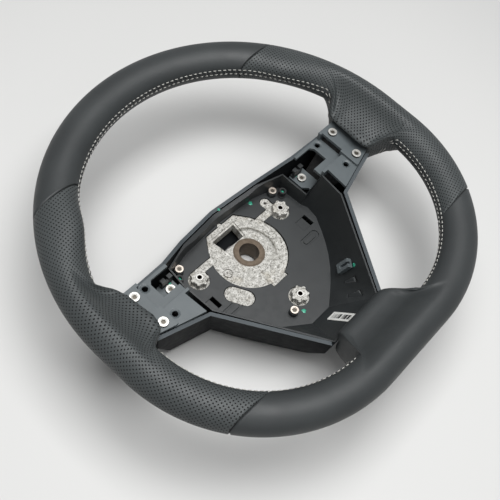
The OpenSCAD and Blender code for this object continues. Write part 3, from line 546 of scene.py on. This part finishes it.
def bulge(points):
    """The stubs' padded ends swell over the edges of the spoke plates and of the tray."""
    x, y, z = points[..., 0], points[..., 1], points[..., 2]
    side = (np.interp(y, LIP_Y, LIP_PUSH) * smooth((LIP_REACH - abs(x)) / LIP_REACH_EASE)
            * smooth((z - LIP_FOOT) / LIP_FOOT_EASE))
    side *= abs(x) > LIP_FROM
    low = (np.interp(x, LOW_LIP_X, LOW_LIP_PUSH) * smooth((y - LOW_LIP_REACH) / LOW_LIP_REACH_EASE)
           * smooth((z - LOW_LIP_FOOT) / LOW_LIP_FOOT_EASE))
    low *= y < LOW_LIP_FROM
    out = points.copy()
    out[..., 0] -= np.sign(x) * side
    out[..., 1] += low
    out[..., 2] += LIP_RISE * side + LOW_LIP_RISE * low
    return out


def clear_of_foam(points):
    """Lifts the skin, in a smooth way, wherever it would lie within the gap of the foam's flats."""
    tree = solid_tree("rim_foam")
    along, across = np.gradient(points, axis=(0, 1))
    normal = np.cross(across, along)
    normal /= np.maximum(np.linalg.norm(normal, axis=2), 1e-9)[..., None]
    need = np.zeros(points.shape[:2])
    for i, row in enumerate(points):
        for j, point in enumerate(row):
            hit, face, _, _ = tree.find_nearest(Vector(point) * MM, FOAM_REACH)
            if hit is not None:
                need[i, j] = max(0, SKIN_GAP - (Vector(point) - hit / MM).dot(face))
    lift = need.copy()
    for _ in range(LIFT_ROUNDS):
        wide = np.pad(lift, 1, mode="edge")
        lift = np.maximum(need, (wide[2:, 1:-1] + wide[:-2, 1:-1] + wide[1:-1, 2:] + wide[1:-1, :-2]) / 4)
    outward = np.sign((normal * (points - points.mean(1, keepdims=True))).sum((0, 1, 2)))
    return points + outward * normal * lift[..., None]


def panel(name, first, last, rows, material):
    """One sewn panel from place first to place last, wrapped round the rim with its join on the inside."""
    phi = math.pi * (2 * np.arange(ROUND_POINTS + 1) / ROUND_POINTS - 1)
    t = np.linspace(0, 1, rows)
    grid_w, grid_phi = np.meshgrid(first + (last - first) * t, phi, indexing="ij")
    s = place(grid_w, grid_phi)
    run = s + 2 * HALF_LEN * (grid_w > 3)
    along, total = abs(run - run[0]), abs(run[-1] - run[0])
    edge = np.minimum(along, total - along)
    near = np.clip(1 - edge / EDGE_TURN, 0, 1)
    inset = LEATHER * (1 - np.sqrt(1 - near ** 2))
    squeeze = SEAM_GAP / 2 * near
    shift = np.where(along < total / 2, 1, -1) * squeeze * np.sign(run[-1] - run[0])
    points = clear_of_foam(bulge(rim_point(s + shift, grid_phi, inset)))
    uv = flatten(points).reshape(-1, 2)
    n = ROUND_POINTS + 1
    flat = points.reshape(-1, 3)
    quads = [(i * n + j, (i + 1) * n + j, (i + 1) * n + j + 1, i * n + j + 1)
             for i in range(rows - 1) for j in range(ROUND_POINTS)]
    obj = add_piece(name, flat, quads, material)
    layer = obj.data.uv_layers.new(name="UVMap")
    corners = np.zeros(len(obj.data.loops), int)
    obj.data.loops.foreach_get("vertex_index", corners)
    layer.data.foreach_set("uv", uv[corners].astype(np.float32).ravel())
    made = bmesh.new()
    made.from_mesh(obj.data)
    bmesh.ops.remove_doubles(made, verts=made.verts, dist=0.01 * MM)
    bmesh.ops.recalc_face_normals(made, faces=made.faces)
    made.to_mesh(obj.data)
    made.free()
    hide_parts(name.replace("_skin", ""))


panel("leather_top_skin", -1, 1, 240, smooth_leather)
panel("leather_right_grip_skin", 1, 2, 230, grip_leather)
panel("leather_left_grip_skin", 5, 4, 230, grip_leather)
panel("leather_bottom_skin", 2, 4, 260, smooth_leather)

# Sewing along the rim's inner side: two light rows, laced together with dark thread
STITCH_PITCH, STITCH_LEN, STITCH_SHIFT, STITCH_RISE, STITCH_SINK = 5.2, 3.3, 0.9, 0.34, 1.6
ROW_OFF, THREAD_R = 2.3, 0.42
LACE_SLANT, LACE_HALF, LACE_RISE, LACE_SINK, LACE_R = 2.2, 1.7, 0.3, 0.9, 0.36
SEAM_RISE = math.radians(9)
SEAM_FLARE, SEAM_EASE, STUB_TURN = 16, 20, np.radians(78)


def seam_phi(s):
    """Where the join runs round the section: inside the rim, and under the spoke stubs."""
    a = abs(s)
    side = smooth((SIDE_HALF + SEAM_FLARE - abs(a - SIDE_MID)) / SEAM_EASE)
    low = smooth((STUB_LOW_W / 2 + SEAM_FLARE - abs(a - HALF_LEN)) / SEAM_EASE)
    return np.pi - SEAM_RISE + (SEAM_RISE + STUB_TURN) * np.maximum(side, low)


def on_skin(s, off, height):
    """Points on the leather at length s and distance off from the join, raised by height."""
    s = (s + HALF_LEN) % (2 * HALF_LEN) - HALF_LEN
    return rim_point(s, seam_phi(s) + off / (GRIP_W / 2), -height)


def tubes(name, paths, radius, material, sides=6):
    """Short threads along paths of points, pinched at both ends."""
    points, faces = [], []
    ring = 2 * math.pi * np.arange(sides) / sides
    for path in paths:
        n = len(path)
        tangent = np.gradient(path, axis=0)
        tangent /= np.linalg.norm(tangent, axis=1)[:, None]
        side = np.cross(tangent, (0.31, 0.17, 0.93))
        side /= np.linalg.norm(side, axis=1)[:, None]
        other = np.cross(tangent, side)
        thick = radius * np.sqrt(np.clip(1 - np.linspace(-1, 1, n) ** 4, 0.12, 1))
        base = len(points)
        for k in range(n):
            turn = np.outer(np.cos(ring), side[k]) + np.outer(np.sin(ring), other[k])
            points.extend(path[k] + thick[k] * turn)
        for k in range(n - 1):
            for j in range(sides):
                a, b = base + k * sides + j, base + k * sides + (j + 1) % sides
                faces.append((a, b, b + sides, a + sides))
        faces.append(tuple(base + j for j in reversed(range(sides))))
        faces.append(tuple(base + (n - 1) * sides + j for j in range(sides)))
    return add_piece(name, points, faces, material)


def sew():
    """The two rows of stitches and the lacing between them, evenly spaced all the way round."""
    count = round(2 * HALF_LEN / STITCH_PITCH)
    starts = -HALF_LEN + (np.arange(count) + 0.5) * 2 * HALF_LEN / count
    arch = np.linspace(-0.5, 0.5, 6)
    light_paths, lace_paths = [], []
    for start in starts:
        for row in (-1, 1):
            light_paths.append(on_skin(start + row * STITCH_SHIFT + STITCH_LEN * arch, row * ROW_OFF,
                                       STITCH_RISE - STITCH_SINK * arch ** 2))
            lace_paths.append(on_skin(start + LACE_SLANT * row * arch, 2 * LACE_HALF * arch,
                                      LACE_RISE - LACE_SINK * arch ** 2))
    tubes("seam_stitches", light_paths, THREAD_R, light_thread)
    tubes("seam_lacing", lace_paths, LACE_R, dark_thread)


sew()


def drop(node, x, y, from_z=200):
    """Point and normal where a line down from (x, y) meets a solid, in millimetres."""
    hit, normal, _, _ = solid_tree(node).ray_cast(Vector((x, y, from_z)) * MM, Vector((0, 0, -1)))
    if normal.z < 0:
        normal = -normal
    return hit / MM, normal


# Label on the ramp: a plain film with a row of plain bars
LABEL_FOOT, LABEL_SLOPE = (0.3, -89, 1), math.radians(53.2)
LABEL_W, LABEL_FROM, LABEL_TO, LABEL_LIFT, LABEL_T, LABEL_ROUND = 5.4, 14, 46.5, 0.32, 0.25, 1.1
BARS_PER_MM, BAR_GAPS, BAR_HALF, BAR_MARGIN = 1.9, 0.42, 2.9, 3


def label():
    """A thin film with rounded corners that lies up the ramp, its long side along the slope."""
    r, corner = LABEL_ROUND, np.radians(np.arange(0, 91, 15))
    turns = [(sx, sy, math.radians(t)) for sx, sy, t in ((1, 1, 0), (-1, 1, 90), (-1, -1, 180), (1, -1, 270))]
    mid, half = (LABEL_FROM + LABEL_TO) / 2, (LABEL_TO - LABEL_FROM) / 2
    rim = [(sx * (LABEL_W - r) + r * math.cos(a + t), sy * (half - r) + r * math.sin(a + t))
           for sx, sy, t in turns for a in corner]
    n = len(rim)
    up = (LABEL_LIFT + LABEL_T, LABEL_LIFT)
    ca, sa = math.cos(LABEL_SLOPE), math.sin(LABEL_SLOPE)
    foot_x, foot_y, foot_z = LABEL_FOOT
    points = [(foot_x + u, foot_y - (mid + v) * ca + h * sa, foot_z + (mid + v) * sa + h * ca)
              for h in up for u, v in rim]
    faces = [tuple(range(n)), tuple(reversed(range(n, 2 * n)))]
    faces += [(i, n + i, n + (i + 1) % n, (i + 1) % n) for i in range(n)]
    obj = add_piece("label_film", points, faces, printed_film(half), smooth_faces=False)
    layer = obj.data.uv_layers.new(name="UVMap")
    for loop in obj.data.loops:
        layer.data[loop.index].uv = rim[loop.vertex_index % n]
    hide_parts("tray_label")


def printed_film(half):
    """Pale film with a row of plain dark bars of uneven width."""
    mat, tree, shader = new_material("printed_film", Roughness=0.35, Specular_IOR_Level=0.5)
    across, along = axes(tree, "UV")[:2]
    cell = math_node(tree, "FLOOR", math_node(tree, "MULTIPLY", along, BARS_PER_MM))
    chance = add_node(tree, "ShaderNodeTexWhiteNoise", {"W": cell}, noise_dimensions="1D").outputs["Value"]
    bars = math_node(tree, "GREATER_THAN", chance, BAR_GAPS)
    inside = math_node(tree, "LESS_THAN", math_node(tree, "ABSOLUTE", across), BAR_HALF)
    reach = math_node(tree, "LESS_THAN", math_node(tree, "ABSOLUTE", along), half - BAR_MARGIN)
    ink = math_node(tree, "MULTIPLY", bars, math_node(tree, "MULTIPLY", inside, reach))
    film = ramp(tree, object_noise(tree, 400, 4), [(0.35, (0.72, 0.72, 0.69)), (0.65, (0.84, 0.84, 0.81))])
    tree.links.new(mix_colours(tree, ink, film, (0.015, 0.015, 0.015, 1)), shader.inputs["Base Color"])
    tree.links.new(bump(tree, object_noise(tree, 700, 3), 0.00004, 0.4), shader.inputs["Normal"])
    return mat


label()

# Dabs of green assembly paint: the solid each is on, its place and radius, and the height of them all
DAB_H = 0.35
PAINT_DABS = [("grommets", -70, 21.6, 2.1), ("grommets", 70, 21.6, 1.9), ("hub_tray", 40, 35.5, 2.1),
              ("hub_tray", -8, -75.5, 2.1), ("mid_bracket_left", -84, 21, 1.5),
              ("mid_bracket_right", 86, 21.5, 1.3), ("hub_tray", 46.3, -81.5, 1.9),
              ("rear_cover", 6.8, 47.5, 1.3)]


def paint_dabs():
    """Low round dabs with wavy edges, each square to the surface it lies on."""
    points, faces = [], []
    rings, sides = 5, 18
    for k, (node, x, y, r) in enumerate(PAINT_DABS):
        at, normal = drop(node, x, y)
        turn = normal.to_track_quat("Z", "Y").to_matrix()
        base = len(points)
        for i in range(rings):
            t = i / (rings - 1)
            for j in range(sides):
                a = 2 * math.pi * j / sides
                wave = 1 + 0.14 * math.sin(3 * a + k * 1.7) + 0.08 * math.sin(5 * a + k * 2.3)
                rr = r * wave * math.sin(math.pi / 2 * t)
                h = DAB_H * math.cos(math.pi / 2 * t) ** 0.8 - 0.02
                points.append(at + turn @ Vector((rr * math.cos(a), rr * math.sin(a), h)))
        for i in range(rings - 1):
            for j in range(sides):
                b, c = base + i * sides, base + (i + 1) * sides
                faces.append((b + j, c + j, c + (j + 1) % sides, b + (j + 1) % sides))
        faces.append(tuple(base + (rings - 1) * sides + j for j in range(sides)))
    add_piece("paint_dabs", points, faces, green_paint)


paint_dabs()

# Floor, lamps and surroundings: far off, the floor runs into the pale haze round it
FAR_TONE, FAR_LEVEL = (0.97, 0.985, 1.0), (0.12, 0.62)
FADE_FROM, FADE_TO, FLOOR_HALF, FLOOR_DROP = 0.35, 1.1, 6, 0.0002
floor_mesh = bpy.data.meshes.new("floor")
floor_mesh.from_pydata([(x * FLOOR_HALF, y * FLOOR_HALF, cad_box[0].z - FLOOR_DROP)
                        for x, y in ((-1, -1), (1, -1), (1, 1), (-1, 1))], [], [(0, 1, 2, 3)])
floor = bpy.data.objects.new("floor", floor_mesh)
bpy.context.scene.collection.objects.link(floor)
floor_paint, floor_tree, floor_shader = new_material("floor_paint", Roughness=0.9, Specular_IOR_Level=0.1)


def seen_rays(tree):
    """One where a ray comes from the camera, a reflection or through glass, and nought for other light."""
    path = add_node(tree, "ShaderNodeLightPath").outputs
    both = math_node(tree, "MAXIMUM", path["Is Glossy Ray"], path["Is Transmission Ray"])
    return math_node(tree, "MAXIMUM", path["Is Camera Ray"], both)


floor_tone = mix_colours(floor_tree, seen_rays(floor_tree), (0.24, 0.24, 0.24, 1), (0.72, 0.72, 0.71, 1))
floor_tree.links.new(floor_tone, floor_shader.inputs["Base Color"])
around = vector_node(floor_tree, "LENGTH", add_node(floor_tree, "ShaderNodeTexCoord").outputs["Object"])
fade = map_range(floor_tree, around, FADE_FROM, FADE_TO, interpolation_type="SMOOTHSTEP")
haze_level = map_range(floor_tree, seen_rays(floor_tree), 0, 1, *FAR_LEVEL)
haze = add_node(floor_tree, "ShaderNodeEmission",
                {"Color": (*FAR_TONE, 1), "Strength": haze_level}).outputs[0]
near_and_far = add_node(floor_tree, "ShaderNodeMixShader", {0: fade, 1: floor_shader.outputs[0], 2: haze})
floor_tree.links.new(near_and_far.outputs[0], floor_tree.nodes["Material Output"].inputs["Surface"])
floor.data.materials.append(floor_paint)

world = bpy.data.worlds.new("world")
bpy.context.scene.world = world
world.use_nodes = True
sky = world.node_tree.nodes["Background"]
sky.inputs["Color"].default_value = (*FAR_TONE, 1)
sky_level = map_range(world.node_tree, seen_rays(world.node_tree), 0, 1, *FAR_LEVEL)
world.node_tree.links.new(sky_level, sky.inputs["Strength"])


def lamp(name, at, aim, size, power):
    """A rectangular softbox; lengths in metres, power in watts."""
    data = bpy.data.lights.new(name, "AREA")
    data.shape = "RECTANGLE"
    data.size, data.size_y = size
    data.energy = power
    obj = bpy.data.objects.new(name, data)
    bpy.context.scene.collection.objects.link(obj)
    obj.location = at
    obj.rotation_mode = "QUATERNION"
    obj.rotation_quaternion = (Vector(aim) - Vector(at)).to_track_quat("-Z", "Y")


lamp("key", (0.0, -0.05, 1.25), (0, 0, 0.05), (0.9, 0.9), 19)
lamp("fill", (-0.9, -0.9, 1.0), (0, 0, 0.05), (0.8, 0.8), 3)

bpy.context.scene.view_settings.view_transform = "Standard"
